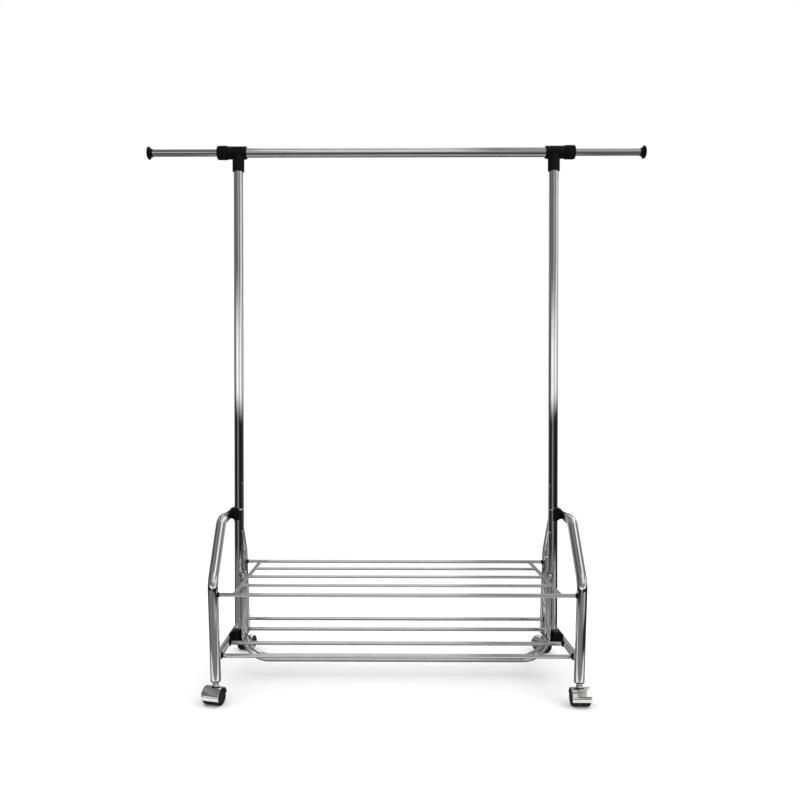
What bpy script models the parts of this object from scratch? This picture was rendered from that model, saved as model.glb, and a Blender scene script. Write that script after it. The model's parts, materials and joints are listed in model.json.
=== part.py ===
"""Rolling clothes rack with a two-tier base, modelled in metres, +Z up.

The origin is on the floor under the middle of the rack. X runs along the hanging
rail, and -Y is the front. Every loose piece of the real rack is an object of its own.
"""

import math

import bmesh
import bpy
from mathutils import Matrix, Vector

COLLECTION_NAME = "rolling_clothes_rack"
MM = 0.001

# Fit between pieces: neighbours that touch on the real rack keep this gap.
GAP = 0.3 * MM

# Tube stock.
FRAME_RADIUS = 12.5 * MM
FRAME_WALL = 1.0 * MM
CROSS_RADIUS = 9.5 * MM
CROSS_WALL = 1.0 * MM
EXTENSION_RADIUS = 9.5 * MM
EXTENSION_WALL = 0.9 * MM
RAIL_RADIUS = 5.0 * MM
RAIL_WALL = 0.8 * MM
ROD_RADIUS = 4.0 * MM
SIDE_BAR_RADIUS = 4.75 * MM
BRACE_RADIUS = 5.2 * MM
BRACE_WALL = 0.9 * MM

# Side frames: two bent legs on each side, which lean in a little towards the floor.
FRAME_X = 446 * MM
LEG_Y = 213 * MM
LEG_END_Z = 56 * MM
KNEE_Z = 291 * MM
SHOULDER_Y = 108 * MM
SHOULDER_Z = 427 * MM
LEG_LEAN = 0.035
KNEE_RADIUS = 60 * MM
SHOULDER_RADIUS = 38 * MM
CROSS_Z = 103 * MM

# Upper connectors join the two legs of a side to each other and to the post.
ARM_LENGTH = 58 * MM
ARM_RADIUS = 10 * MM
STUB_LENGTH = 12 * MM
STUB_RADIUS = 10.9 * MM
CLASP_TOP_Z = 447 * MM
CLASP_BOTTOM_Z = 413 * MM
CLASP_HALF_WIDTH = 15.2 * MM
CLASP_INNER_X = 417 * MM

# Posts, in two lengths that plug together. POST_X is at the joint: they lean outward.
POST_X = 420 * MM
POST_LEAN = 0.0045
POST_FOOT_Z = 122.3 * MM
POST_JOINT_Z = 441 * MM
POST_TOP_Z = 1384 * MM
POST_SEAM = 2 * MM
SPIGOT_RADIUS = 11.0 * MM
SPIGOT_LENGTH = 40 * MM

# Foot sockets hold the posts on the cross rails.
SOCKET_INNER_X = 407 * MM
SOCKET_STEP_X = 415.6 * MM
SOCKET_OUTER_X = 443 * MM
SOCKET_BOTTOM_Z = 91 * MM
SOCKET_TOP_Z = 122 * MM
SOCKET_HALF_WIDTH = 28 * MM
SOCKET_TONGUE_HALF_WIDTH = 11.6 * MM
SOCKET_PEG_LENGTH = 25 * MM

# Hanging rail, tees, twist collars and sliding extensions.
RAIL_Z = 1400 * MM
RAIL_END_X = 449.7 * MM
TEE_INNER_X = 402 * MM
TEE_SHOULDER_X = 452 * MM
TEE_NECK_X = 472 * MM
TEE_RADIUS = 17.2 * MM
TEE_SLEEVE_RADIUS = 16 * MM
TEE_SLEEVE_Z = 1349 * MM
TEE_NECK_RADIUS = 14.5 * MM
COLLAR_RADIUS = 18.8 * MM
COLLAR_END_X = 481 * MM
COLLAR_CHAMFER = 2.5 * MM
EXTENSION_INNER_X = 196 * MM
EXTENSION_OUTER_X = 661 * MM
CAP_RADIUS = 17.5 * MM
CAP_DISC = 9 * MM
CAP_COLLAR = 6 * MM
CAP_SPIGOT = 20 * MM

# Shelves.
UPPER_SHELF_Z = 261 * MM
SIDE_BAR_X = 395 * MM
UPPER_ROD_Y = (-107 * MM, 0.0, 107 * MM)
LOWER_RAIL_Y = (-175 * MM, -67 * MM, 67 * MM, 175 * MM)
LOWER_RAIL_NAMES = ("front", "mid_front", "mid_back", "back")
SADDLE_THICKNESS = 3 * MM
SADDLE_HALF_LENGTH = 6 * MM
UPPER_LIP = 10 * MM
LOWER_LIP = 8.5 * MM
PLUG_PEG_RADIUS = 3.7 * MM
PLUG_PEG_LENGTH = 14 * MM

# Brace bars: a pair of U-shaped bars, in front of and behind the posts.
BRACE_X = 406.5 * MM
BRACE_Y = 18.5 * MM
BRACE_TOP_Z = 268 * MM
BRACE_BOTTOM_Z = 45 * MM
BRACE_CORNER_RADIUS = 70 * MM
BRACE_HOOK_RADIUS = 8 * MM

# Casters. The axle sits ahead of the swivel, towards the closed side of the hood.
WHEEL_RADIUS = 20.3 * MM
WHEEL_SIDES = 24
WHEEL_HALF_WIDTH = 23 * MM
WHEEL_SHOULDER = 4 * MM
WHEEL_SLOT = 3.2 * MM
HUB_RADIUS = 5.5 * MM
AXLE_RADIUS = 2.5 * MM
AXLE_OFFSET = 8 * MM
HOOD_RADIUS = 23.5 * MM
HOOD_WALL = 1.6 * MM
HOOD_HALF_LENGTH = 22.8 * MM
MOUTH_TILT = math.radians(11.5)
MOUTH_DROP = 0.6 * MM
WEB_HALF_WIDTH = 2.2 * MM
WEB_BOTTOM_Z = 11 * MM
STEM_RADIUS = 5.5 * MM
STEM_TOP_Z = 81 * MM
STEM_FOOT_Z = 40 * MM
BOSS_RADIUS = 7.5 * MM
BOSS_TOP_Z = 48 * MM
INSERT_RADIUS = 10.4 * MM
INSERT_TOP_Z = 86 * MM
INSERT_FLANGE = 3 * MM
SWIVEL_ANGLES = {
    "front_left": math.radians(-16),
    "front_right": math.radians(0),
    "back_left": math.radians(166),
    "back_right": math.radians(-55),
}

SIDES = {"left": -1, "right": 1}
ENDS = {"front": -1, "back": 1}

# Facets around a turned piece, a cutter and a thin bar.
ROUND = 20
FINE = 24
THIN = 10


def fresh_scene():
    """Empty the scene and make the collections of parts and of cutters."""
    for obj in list(bpy.data.objects):
        bpy.data.objects.remove(obj)
    parts = bpy.data.collections.new(COLLECTION_NAME)
    tools = bpy.data.collections.new("cutters")
    bpy.context.scene.collection.children.link(parts)
    bpy.context.scene.collection.children.link(tools)
    return parts, tools


PARTS, TOOLS = fresh_scene()


def make_material(name, colour, roughness, metallic):
    """Return a Principled material of one colour."""
    material = bpy.data.materials.new(name)
    material.use_nodes = True
    shader = material.node_tree.nodes["Principled BSDF"]
    shader.inputs["Base Color"].default_value = (*colour, 1)
    shader.inputs["Roughness"].default_value = roughness
    shader.inputs["Metallic"].default_value = metallic
    return material


CHROME = make_material("chrome_plate", (0.72, 0.73, 0.74), 0.08, 1)
BLACK_PLASTIC = make_material("black_plastic", (0.012, 0.012, 0.013), 0.35, 0)
TYRE = make_material("tyre_plastic", (0.02, 0.02, 0.02), 0.55, 0)
STEEL = make_material("bright_steel", (0.55, 0.55, 0.56), 0.3, 1)


# ---------------------------------------------------------------- modelling helpers


def bore(radius, sides=FINE):
    """Radius of a faceted hole whose flats clear a round piece by the gap."""
    return (radius + GAP) / math.cos(math.pi / sides)


def along(direction):
    """Rotation that turns +Z to the direction."""
    return Vector((0, 0, 1)).rotation_difference(Vector(direction)).to_matrix().to_4x4()


def leg_x(z):
    """Distance of a leg's axis from the middle plane, below the knee."""
    return FRAME_X - LEG_LEAN * (KNEE_Z - z)


def post_point(side, z):
    """Point on a post's axis."""
    return Vector((side * (POST_X + POST_LEAN * (z - POST_JOINT_Z)), 0, z))


def add_part(name, mesh, material, matrix=None, parent=None):
    """Make one named piece of the rack from a mesh."""
    part = bpy.data.objects.new(name, mesh)
    if not mesh.materials:
        mesh.materials.append(material)
    PARTS.objects.link(part)
    part.parent = parent
    part.matrix_local = matrix or Matrix()
    return part


def tool(mesh, matrix=None):
    """Make a helper object, which is only used to cut or join other shapes."""
    helper = bpy.data.objects.new("tool", mesh)
    TOOLS.objects.link(helper)
    helper.matrix_world = matrix or Matrix()
    helper.hide_render = True
    helper.display_type = "WIRE"
    return helper


def evaluated_mesh(obj, remove=True):
    """Return the object's mesh with modifiers and place applied, ends welded."""
    bpy.context.view_layer.update()
    graph = bpy.context.evaluated_depsgraph_get()
    mesh = bpy.data.meshes.new_from_object(obj.evaluated_get(graph))
    mesh.transform(obj.matrix_world)
    work = bmesh.new()
    work.from_mesh(mesh)
    bmesh.ops.remove_doubles(work, verts=work.verts, dist=0.001 * MM)
    bmesh.ops.recalc_face_normals(work, faces=work.faces)
    work.to_mesh(mesh)
    work.free()
    mesh.materials.clear()
    if remove:
        bpy.data.objects.remove(obj)
    return mesh


def smooth(mesh):
    """Shade round faces smooth and keep the real edges sharp."""
    mesh.shade_smooth()
    mesh.set_sharp_from_angle(angle=math.radians(35))
    return mesh


def cylinder(radius, start, end, sides=FINE, stretch=1.0):
    """Closed cylinder between two points, as a helper. Stretch widens it sideways."""
    start, end = Vector(start), Vector(end)
    work = bmesh.new()
    bmesh.ops.create_cone(
        work,
        cap_ends=True,
        segments=sides,
        radius1=radius,
        radius2=radius,
        depth=(end - start).length,
    )
    bmesh.ops.scale(work, verts=work.verts, vec=(1, stretch, 1))
    mesh = bpy.data.meshes.new("cylinder")
    work.to_mesh(mesh)
    work.free()
    return tool(mesh, Matrix.Translation((start + end) / 2) @ along(end - start))


def prism(outline, half_depth):
    """Closed prism of an outline in the XZ plane, from -half_depth to half_depth in Y."""
    curve = bpy.data.curves.new("outline", "CURVE")
    curve.dimensions = "2D"
    curve.fill_mode = "BOTH"
    curve.extrude = half_depth
    spline = curve.splines.new("POLY")
    spline.points.add(len(outline) - 1)
    for point, (x, z) in zip(spline.points, outline):
        point.co = (x, z, 0, 1)
    spline.use_cyclic_u = True
    shape = tool(curve, Matrix.Rotation(math.radians(90), 4, "X"))
    return tool(evaluated_mesh(shape))


def combined(base, *steps):
    """Apply Boolean steps, pairs of operation and helper, and return the mesh."""
    for operation, other in steps:
        modifier = base.modifiers.new(operation, "BOOLEAN")
        modifier.operation = operation
        modifier.object = other
        modifier.solver = "EXACT"
    mesh = evaluated_mesh(base)
    for _, other in steps:
        bpy.data.objects.remove(other)
    return mesh


def turned_mesh(profile, sides=ROUND, closed=False):
    """Mesh of a profile of (radius, height) points turned around Z."""
    mesh = bpy.data.meshes.new("profile")
    edges = [(i, i + 1) for i in range(len(profile) - 1)]
    if closed:
        edges.append((len(profile) - 1, 0))
    mesh.from_pydata([(radius, 0, height) for radius, height in profile], edges, [])
    shape = tool(mesh)
    screw = shape.modifiers.new("turn", "SCREW")
    screw.steps = sides
    screw.render_steps = sides
    screw.use_merge_vertices = True
    screw.merge_threshold = 0.001 * MM
    return evaluated_mesh(shape)


def pipe_mesh(outer, wall, length, sides=ROUND):
    """Straight open tube along Z, from 0 to its length."""
    inner = outer - wall
    profile = [(outer, length), (outer, 0), (inner, 0), (inner, length)]
    return turned_mesh(profile, sides, closed=True)


def pipe(name, outer, wall, start, end, material, sides=ROUND):
    """Straight open tube between two points, with its origin at the first."""
    start, end = Vector(start), Vector(end)
    mesh = smooth(pipe_mesh(outer, wall, (end - start).length, sides))
    return add_part(name, mesh, material, Matrix.Translation(start) @ along(end - start))


def rounded_path(corners, radii, steps):
    """Points of a path whose inner corners are replaced by arcs."""
    corners = [Vector(corner) for corner in corners]
    points = [corners[0]]
    for before, corner, after, radius in zip(corners, corners[1:], corners[2:], radii):
        back = (before - corner).normalized()
        ahead = (after - corner).normalized()
        half = back.angle(ahead) / 2
        centre = corner + (back + ahead).normalized() * radius / math.sin(half)
        spoke = corner + back * radius / math.tan(half) - centre
        axis = ahead.cross(back).normalized()
        for step in range(steps + 1):
            turn = Matrix.Rotation((math.pi - 2 * half) * step / steps, 3, axis)
            points.append(centre + turn @ spoke)
    points.append(corners[-1])
    return points


def bent_pipe(name, points, outer, wall, material, sides=16):
    """Open tube along a path of points."""
    curve = bpy.data.curves.new(name, "CURVE")
    curve.dimensions = "3D"
    curve.bevel_depth = outer
    curve.bevel_resolution = (sides - 4) // 2
    spline = curve.splines.new("POLY")
    spline.points.add(len(points) - 1)
    for point, place in zip(spline.points, points):
        point.co = (*place, 1)
    skin = add_part(name, smooth(evaluated_mesh(tool(curve))), material)
    shell = skin.modifiers.new("wall", "SOLIDIFY")
    shell.thickness = wall
    shell.offset = -1
    return skin


# ---------------------------------------------------------------- side frames


def leg_line(side, end):
    """Two points on the straight lower part of a leg, from low to high."""
    low = Vector((side * leg_x(0), end * LEG_Y, 0))
    high = Vector((side * leg_x(KNEE_Z), end * LEG_Y, KNEE_Z))
    return low, high


def make_leg(side_name, end_name):
    """Bent leg tube: up from the caster, back at the knee, level into the connector."""
    side, end = SIDES[side_name], ENDS[end_name]
    corners = [
        (side * leg_x(LEG_END_Z), end * LEG_Y, LEG_END_Z),
        (side * FRAME_X, end * LEG_Y, KNEE_Z),
        (side * FRAME_X, end * SHOULDER_Y, SHOULDER_Z),
        (side * FRAME_X, end * (ARM_LENGTH + GAP), SHOULDER_Z),
    ]
    points = rounded_path(corners, (KNEE_RADIUS, SHOULDER_RADIUS), 6)
    bent_pipe(f"{end_name}_{side_name}_leg", points, FRAME_RADIUS, FRAME_WALL, CHROME)


def make_cross_rail(side_name):
    """Lower rail of a side frame, coped onto its two legs."""
    side = SIDES[side_name]
    x = side * leg_x(CROSS_Z)
    half = LEG_Y - CROSS_RADIUS / 2
    tube = tool(
        pipe_mesh(CROSS_RADIUS, CROSS_WALL, 2 * half, 20),
        Matrix.Translation((x, -half, CROSS_Z)) @ along((0, 1, 0)),
    )
    cuts = [
        ("DIFFERENCE", cylinder(bore(FRAME_RADIUS), *leg_line(side, end)))
        for end in ENDS.values()
    ]
    add_part(f"{side_name}_cross_rail", smooth(combined(tube, *cuts)), CHROME)


def make_upper_connector(side_name):
    """Moulded arms that plug into the two legs of a side, with a clasp for the post."""
    side = SIDES[side_name]

    def level(radius, y_start, y_end):
        start = (side * FRAME_X, y_start, SHOULDER_Z)
        return cylinder(radius, start, (side * FRAME_X, y_end, SHOULDER_Z))

    stub_start = ARM_LENGTH - 2 * MM
    stub_end = ARM_LENGTH + STUB_LENGTH
    outline = [
        (side * FRAME_X, SHOULDER_Z + ARM_RADIUS - MM),
        (side * (POST_X + 11 * MM), CLASP_TOP_Z),
        (side * (POST_X + 3 * MM), CLASP_TOP_Z),
        (side * CLASP_INNER_X, CLASP_TOP_Z - 6 * MM),
        (side * CLASP_INNER_X, CLASP_BOTTOM_Z),
        (side * (POST_X + 9 * MM), CLASP_BOTTOM_Z),
        (side * (POST_X + 16 * MM), SHOULDER_Z - ARM_RADIUS + MM),
        (side * FRAME_X, SHOULDER_Z - ARM_RADIUS + MM),
    ]
    post_hole = cylinder(
        bore(FRAME_RADIUS), post_point(side, 0.3), post_point(side, 0.6)
    )
    mesh = combined(
        level(ARM_RADIUS, -ARM_LENGTH, ARM_LENGTH),
        ("UNION", level(STUB_RADIUS, stub_start, stub_end)),
        ("UNION", level(STUB_RADIUS, -stub_end, -stub_start)),
        ("UNION", prism(outline, CLASP_HALF_WIDTH)),
        ("DIFFERENCE", post_hole),
    )
    add_part(f"{side_name}_upper_connector", smooth(mesh), BLACK_PLASTIC)


def make_foot_socket(side_name):
    """Moulded block on the cross rail, with a peg that carries the post."""
    side = SIDES[side_name]
    outline = [
        (side * SOCKET_STEP_X, SOCKET_BOTTOM_Z),
        (side * SOCKET_OUTER_X, SOCKET_BOTTOM_Z),
        (side * SOCKET_OUTER_X, SOCKET_TOP_Z - 8 * MM),
        (side * (SOCKET_OUTER_X - 9 * MM), SOCKET_TOP_Z),
        (side * SOCKET_STEP_X, SOCKET_TOP_Z),
    ]
    tongue = [
        (side * SOCKET_INNER_X, SOCKET_BOTTOM_Z),
        (side * POST_X, SOCKET_BOTTOM_Z),
        (side * POST_X, SOCKET_TOP_Z),
        (side * SOCKET_INNER_X, SOCKET_TOP_Z),
    ]
    peg = cylinder(
        STUB_RADIUS,
        post_point(side, SOCKET_TOP_Z - 4 * MM),
        post_point(side, SOCKET_TOP_Z + SOCKET_PEG_LENGTH),
    )
    rail_x = side * leg_x(CROSS_Z)
    rail_hole = cylinder(
        bore(CROSS_RADIUS), (rail_x, -0.05, CROSS_Z), (rail_x, 0.05, CROSS_Z)
    )
    mesh = combined(
        prism(outline, SOCKET_HALF_WIDTH),
        ("UNION", prism(tongue, SOCKET_TONGUE_HALF_WIDTH)),
        ("UNION", peg),
        ("DIFFERENCE", rail_hole),
    )
    add_part(f"{side_name}_foot_socket", smooth(mesh), BLACK_PLASTIC)


# ---------------------------------------------------------------- posts


def make_posts(side_name):
    """Lower post with a reduced top end, and the upper post that slips over it."""
    side = SIDES[side_name]
    foot = post_point(side, POST_FOOT_Z)
    top = post_point(side, POST_TOP_Z)
    bore_radius = FRAME_RADIUS - FRAME_WALL
    spigot_bore = SPIGOT_RADIUS - FRAME_WALL
    shoulder = POST_JOINT_Z - POST_FOOT_Z
    spigot_top = shoulder + SPIGOT_LENGTH
    profile = [
        (SPIGOT_RADIUS, spigot_top),
        (SPIGOT_RADIUS, shoulder),
        (FRAME_RADIUS, shoulder),
        (FRAME_RADIUS, 0),
        (bore_radius, 0),
        (bore_radius, shoulder - 6 * MM),
        (spigot_bore, shoulder),
        (spigot_bore, spigot_top),
    ]
    lower = smooth(turned_mesh(profile, closed=True))
    add_part(
        f"{side_name}_lower_post",
        lower,
        CHROME,
        Matrix.Translation(foot) @ along(top - foot),
    )
    pipe(
        f"{side_name}_upper_post",
        FRAME_RADIUS,
        FRAME_WALL,
        post_point(side, POST_JOINT_Z + POST_SEAM),
        top,
        CHROME,
    )


# ---------------------------------------------------------------- hanging rail


def make_tee(side_name):
    """Moulded tee: post below, hanging rail inside, threaded neck outside."""
    side = SIDES[side_name]

    def level(x_start, x_end, radius):
        return cylinder(radius, (side * x_start, 0, RAIL_Z), (side * x_end, 0, RAIL_Z))

    body = level(TEE_INNER_X, TEE_SHOULDER_X, TEE_RADIUS)
    neck = level(TEE_SHOULDER_X - 5 * MM, TEE_NECK_X, TEE_NECK_RADIUS)
    sleeve = cylinder(
        TEE_SLEEVE_RADIUS, post_point(side, TEE_SLEEVE_Z), post_point(side, RAIL_Z)
    )
    rail_hole = level(TEE_INNER_X - 10 * MM, RAIL_END_X + GAP, bore(FRAME_RADIUS))
    slide_hole = level(RAIL_END_X - 5 * MM, TEE_NECK_X + 5 * MM, bore(EXTENSION_RADIUS))
    post_hole = cylinder(
        bore(FRAME_RADIUS),
        post_point(side, TEE_SLEEVE_Z - 5 * MM),
        post_point(side, POST_TOP_Z + GAP),
    )
    mesh = combined(
        body,
        ("UNION", neck),
        ("UNION", sleeve),
        ("DIFFERENCE", rail_hole),
        ("DIFFERENCE", slide_hole),
        ("DIFFERENCE", post_hole),
    )
    add_part(f"{side_name}_tee", smooth(mesh), BLACK_PLASTIC)


def make_twist_collar(side_name):
    """Cup-shaped collar that turns on the tee's neck to grip the extension."""
    side = SIDES[side_name]
    start = TEE_SHOULDER_X + GAP
    length = COLLAR_END_X - start
    floor = TEE_NECK_X + GAP - start
    cup = bore(TEE_NECK_RADIUS)
    grip = bore(EXTENSION_RADIUS)
    profile = [
        (COLLAR_RADIUS - COLLAR_CHAMFER, length),
        (COLLAR_RADIUS, length - COLLAR_CHAMFER),
        (COLLAR_RADIUS, MM),
        (COLLAR_RADIUS - MM, 0),
        (cup, 0),
        (cup, floor),
        (grip, floor),
        (grip, length),
    ]
    place = Matrix.Translation((side * start, 0, RAIL_Z)) @ along((side, 0, 0))
    mesh = smooth(turned_mesh(profile, FINE, closed=True))
    add_part(f"{side_name}_twist_collar", mesh, BLACK_PLASTIC, place)


def make_extension(side_name):
    """Sliding extension tube with its end cap."""
    side = SIDES[side_name]
    pipe(
        f"{side_name}_extension_tube",
        EXTENSION_RADIUS,
        EXTENSION_WALL,
        (side * EXTENSION_INNER_X, 0, RAIL_Z),
        (side * EXTENSION_OUTER_X, 0, RAIL_Z),
        CHROME,
    )
    peg = EXTENSION_RADIUS - EXTENSION_WALL - 2 * GAP
    profile = [
        (0, CAP_DISC),
        (CAP_RADIUS - 6 * MM, CAP_DISC),
        (CAP_RADIUS - 2 * MM, CAP_DISC - 1.5 * MM),
        (CAP_RADIUS, CAP_DISC - 4 * MM),
        (CAP_RADIUS, CAP_DISC - 6 * MM),
        (CAP_RADIUS - 2 * MM, 0.5 * MM),
        (EXTENSION_RADIUS + 2.5 * MM, 0),
        (EXTENSION_RADIUS + MM, -CAP_COLLAR),
        (EXTENSION_RADIUS + GAP, -CAP_COLLAR),
        (EXTENSION_RADIUS + GAP, GAP),
        (peg, GAP),
        (peg, -CAP_SPIGOT),
        (0, -CAP_SPIGOT),
    ]
    place = Matrix.Translation((side * EXTENSION_OUTER_X, 0, RAIL_Z)) @ along((side, 0, 0))
    add_part(
        f"{side_name}_end_cap", smooth(turned_mesh(profile, FINE)), BLACK_PLASTIC, place
    )


def make_hanging_rail():
    """Main rail, which runs from tee to tee and houses both extensions."""
    start = (-RAIL_END_X, 0, RAIL_Z)
    pipe("hanging_rail", FRAME_RADIUS, FRAME_WALL, start, (RAIL_END_X, 0, RAIL_Z), CHROME)


# ---------------------------------------------------------------- shelves


def make_end_plug(name, side, centre, tube_line, tube_radius, lip):
    """Saddle plug that seats a shelf rail's end on a frame tube.

    The lips reach round the tube, and the peg sits inside the rail.
    """
    low, high = tube_line
    run = (high - low).normalized()
    inward = Vector((-side, 0, 0))
    outer = tube_radius + SADDLE_THICKNESS
    saddle = cylinder(
        outer, centre - run * SADDLE_HALF_LENGTH, centre + run * SADDLE_HALF_LENGTH
    )
    lobe_length = outer + MM
    lobe = cylinder(1.0, (0, 0, 0), (0, 0, 1), 20)
    across = inward.cross(run).normalized()
    frame = Matrix((across * lip, run * SADDLE_HALF_LENGTH, inward * lobe_length))
    middle = centre + inward * (lobe_length / 2 + 0.45 * tube_radius)
    lobe.matrix_world = Matrix.Translation(middle) @ frame.transposed().to_4x4()
    peg = cylinder(
        PLUG_PEG_RADIUS,
        centre + inward * tube_radius,
        centre + inward * (outer + PLUG_PEG_LENGTH),
        THIN,
    )
    mesh = combined(
        saddle,
        ("INTERSECT", lobe),
        ("UNION", peg),
        ("DIFFERENCE", cylinder(bore(tube_radius), low, high)),
    )
    add_part(name, smooth(mesh), BLACK_PLASTIC)


def make_shelf_rail(name, y, z, tube_x, tube_radius):
    """Chromed shelf rail between the saddles on both side frames."""
    half = tube_x - tube_radius - SADDLE_THICKNESS - GAP
    pipe(name, RAIL_RADIUS, RAIL_WALL, (-half, y, z), (half, y, z), CHROME, THIN)


def make_upper_shelf():
    """Front and back rails on the legs, with a welded grid between them."""
    tube_x = leg_x(UPPER_SHELF_Z)
    for end_name, end in ENDS.items():
        y = end * LEG_Y
        make_shelf_rail(
            f"upper_shelf_{end_name}_rail", y, UPPER_SHELF_Z, tube_x, FRAME_RADIUS
        )
        for side_name, side in SIDES.items():
            make_end_plug(
                f"upper_{end_name}_{side_name}_plug",
                side,
                Vector((side * tube_x, y, UPPER_SHELF_Z)),
                leg_line(side, end),
                FRAME_RADIUS,
                UPPER_LIP,
            )
    bar_y = LEG_Y - RAIL_RADIUS - GAP
    bars = [
        cylinder(
            SIDE_BAR_RADIUS,
            (x, -bar_y, UPPER_SHELF_Z),
            (x, bar_y, UPPER_SHELF_Z),
            THIN,
        )
        for x in (-SIDE_BAR_X, SIDE_BAR_X)
    ]
    rods = [
        cylinder(
            ROD_RADIUS,
            (-SIDE_BAR_X, y, UPPER_SHELF_Z),
            (SIDE_BAR_X, y, UPPER_SHELF_Z),
            THIN,
        )
        for y in UPPER_ROD_Y
    ]
    grid = combined(rods[0], *[("UNION", bar) for bar in bars + rods[1:]])
    add_part("upper_shelf_grid", smooth(grid), CHROME)


def make_lower_shelf():
    """Four rails seated on the cross rails of the side frames."""
    tube_x = leg_x(CROSS_Z)
    for label, y in zip(LOWER_RAIL_NAMES, LOWER_RAIL_Y):
        make_shelf_rail(f"lower_shelf_{label}_rail", y, CROSS_Z, tube_x, CROSS_RADIUS)
        for side_name, side in SIDES.items():
            line = [Vector((side * tube_x, end * LEG_Y, CROSS_Z)) for end in (-1, 1)]
            make_end_plug(
                f"lower_{label}_{side_name}_plug",
                side,
                Vector((side * tube_x, y, CROSS_Z)),
                line,
                CROSS_RADIUS,
                LOWER_LIP,
            )


def make_brace_bar(end_name):
    """U-shaped bar under the lower shelf, with its ends turned in to the posts."""
    end = ENDS[end_name]
    to_post = Vector((post_point(1, BRACE_TOP_Z).x - BRACE_X, -end * BRACE_Y, 0))
    hook = to_post.length - FRAME_RADIUS - 2 * GAP
    tip = Vector((BRACE_X, end * BRACE_Y, BRACE_TOP_Z)) + to_post.normalized() * hook
    right_half = [
        Vector((BRACE_X, end * BRACE_Y, BRACE_BOTTOM_Z)),
        Vector((BRACE_X, end * BRACE_Y, BRACE_TOP_Z)),
        tip,
    ]
    left_half = [Vector((-point.x, point.y, point.z)) for point in reversed(right_half)]
    radii = (BRACE_HOOK_RADIUS, BRACE_CORNER_RADIUS, BRACE_CORNER_RADIUS, BRACE_HOOK_RADIUS)
    points = rounded_path(left_half + right_half, radii, 7)
    bent_pipe(f"{end_name}_brace_bar", points, BRACE_RADIUS, BRACE_WALL, CHROME, THIN)


# ---------------------------------------------------------------- casters


AXLE_Z = WHEEL_RADIUS * math.cos(math.pi / WHEEL_SIDES)
AXLE_PLACE = Matrix.Translation((0, -AXLE_OFFSET, AXLE_Z)) @ along((1, 0, 0))


def wheel_mesh():
    """Twin black wheels on one hub, with a facet of the tread facing straight down."""
    tread = WHEEL_RADIUS
    face = WHEEL_HALF_WIDTH
    hole = bore(AXLE_RADIUS, WHEEL_SIDES)
    outer_half = [
        (hole, face - 2 * MM),
        (tread - 7 * MM, face - 2 * MM),
        (tread - 5.5 * MM, face),
        (tread - WHEEL_SHOULDER, face),
        (tread - 1.2 * MM, face - 1.2 * MM),
        (tread, face - WHEEL_SHOULDER),
        (tread, WHEEL_SLOT),
        (HUB_RADIUS, WHEEL_SLOT),
    ]
    inner_half = [(radius, -height) for radius, height in reversed(outer_half)]
    mesh = turned_mesh(outer_half + inner_half, WHEEL_SIDES, closed=True)
    mesh.transform(Matrix.Rotation(math.pi / WHEEL_SIDES, 4, "Z"))
    return smooth(mesh)


def housing_mesh():
    """Swivelling hood over both wheels, with the web that holds the axle, and the stem."""

    def level(radius, half):
        start, end = (-half, -AXLE_OFFSET, AXLE_Z), (half, -AXLE_OFFSET, AXLE_Z)
        return cylinder(radius, start, end)

    def beyond(point, direction):
        point = Vector(point)
        reach = 3 * HOOD_RADIUS
        return cylinder(reach, point, point + Vector(direction) * reach, 8)

    def upright(radius, top_z):
        return cylinder(radius, (0, 0, STEM_FOOT_Z), (0, 0, top_z), ROUND)

    inner_radius = HOOD_RADIUS - HOOD_WALL
    web = combined(
        level(inner_radius + HOOD_WALL / 2, WEB_HALF_WIDTH),
        ("DIFFERENCE", beyond((0, 0, WEB_BOTTOM_Z), (0, 0, -1))),
    )
    opening = Vector((0, math.sin(MOUTH_TILT), -math.cos(MOUTH_TILT)))
    mouth = Vector((0, -AXLE_OFFSET, AXLE_Z)) + opening * MOUTH_DROP
    mesh = combined(
        level(HOOD_RADIUS, HOOD_HALF_LENGTH),
        ("UNION", upright(BOSS_RADIUS, BOSS_TOP_Z)),
        ("UNION", upright(STEM_RADIUS, STEM_TOP_Z)),
        ("DIFFERENCE", level(inner_radius, HOOD_HALF_LENGTH + MM)),
        ("DIFFERENCE", beyond(mouth, opening)),
        ("UNION", tool(web)),
        ("DIFFERENCE", level(bore(HUB_RADIUS), HOOD_HALF_LENGTH)),
    )
    return smooth(mesh)


def insert_mesh():
    """Plug in the leg's end: flange, barrel and a blind hole for the stem."""
    flange_z = LEG_END_Z - INSERT_FLANGE - 2 * GAP
    rim_z = LEG_END_Z - 2 * GAP
    hole = bore(STEM_RADIUS)
    profile = [
        (0, INSERT_TOP_Z),
        (INSERT_RADIUS - MM, INSERT_TOP_Z),
        (INSERT_RADIUS, INSERT_TOP_Z - MM),
        (INSERT_RADIUS, rim_z),
        (FRAME_RADIUS, rim_z),
        (FRAME_RADIUS, flange_z + MM),
        (FRAME_RADIUS - MM, flange_z),
        (hole, flange_z),
        (hole, STEM_TOP_Z + MM),
        (0, STEM_TOP_Z + MM),
    ]
    return smooth(turned_mesh(profile, ROUND))


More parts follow.
